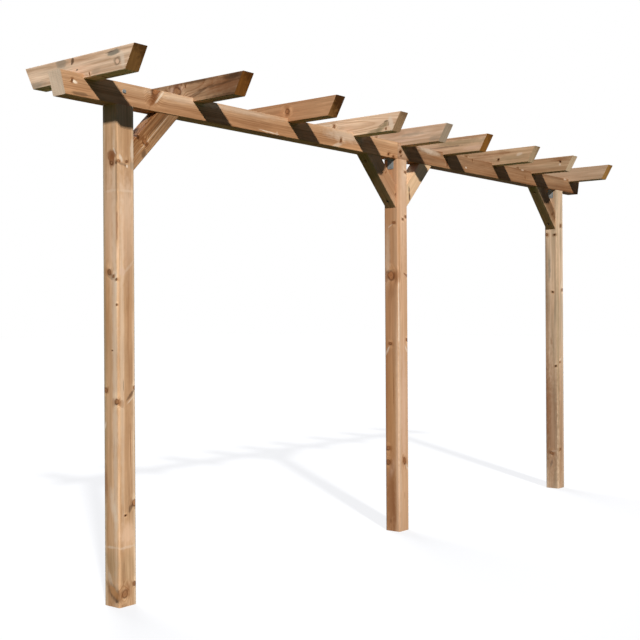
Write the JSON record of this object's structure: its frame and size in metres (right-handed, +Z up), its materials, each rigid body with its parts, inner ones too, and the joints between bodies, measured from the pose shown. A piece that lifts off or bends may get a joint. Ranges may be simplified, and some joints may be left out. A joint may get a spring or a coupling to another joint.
{
  "type": "wooden pergola",
  "caption": "Single row garden pergola: square timber posts carry a straight beam crossed by short notched rafters, with mitred corner braces; open bays to walk through or train plants over.",
  "frame": {"origin": "centre of the middle post's foot, on the ground", "axes": "+X along the beam towards the right post, +Y across the beam to the back, +Z up"},
  "size_m": [4.665, 0.69, 2.272],
  "materials": {
    "post_timber": "planed pressure-treated softwood, warm tan with knots",
    "beam_timber": "planed pressure-treated softwood, orange tan, sawn ends",
    "rafter_timber": "planed pressure-treated softwood, sawn ends",
    "brace_timber": "planed pressure-treated softwood, brown",
    "galvanised_steel": "dull zinc galvanised steel"
  },
  "bodies": {
    "root": {"post_left": "post_timber", "post_middle": "post_timber", "post_right": "post_timber", "beam_left": "beam_timber", "beam_right": "beam_timber", "rafter_1": "rafter_timber", "rafter_2": "rafter_timber", "rafter_3": "rafter_timber", "rafter_4": "rafter_timber", "rafter_5": "rafter_timber", "rafter_6": "rafter_timber", "rafter_7": "rafter_timber", "rafter_8": "rafter_timber", "rafter_9": "rafter_timber", "brace_left": "brace_timber", "brace_middle_left": "brace_timber", "brace_middle_right": "brace_timber", "brace_right": "brace_timber", "bracket_middle_left": "galvanised_steel", "bracket_middle_right": "galvanised_steel", "bracket_right": "galvanised_steel"}
  },
  "joints": []
}
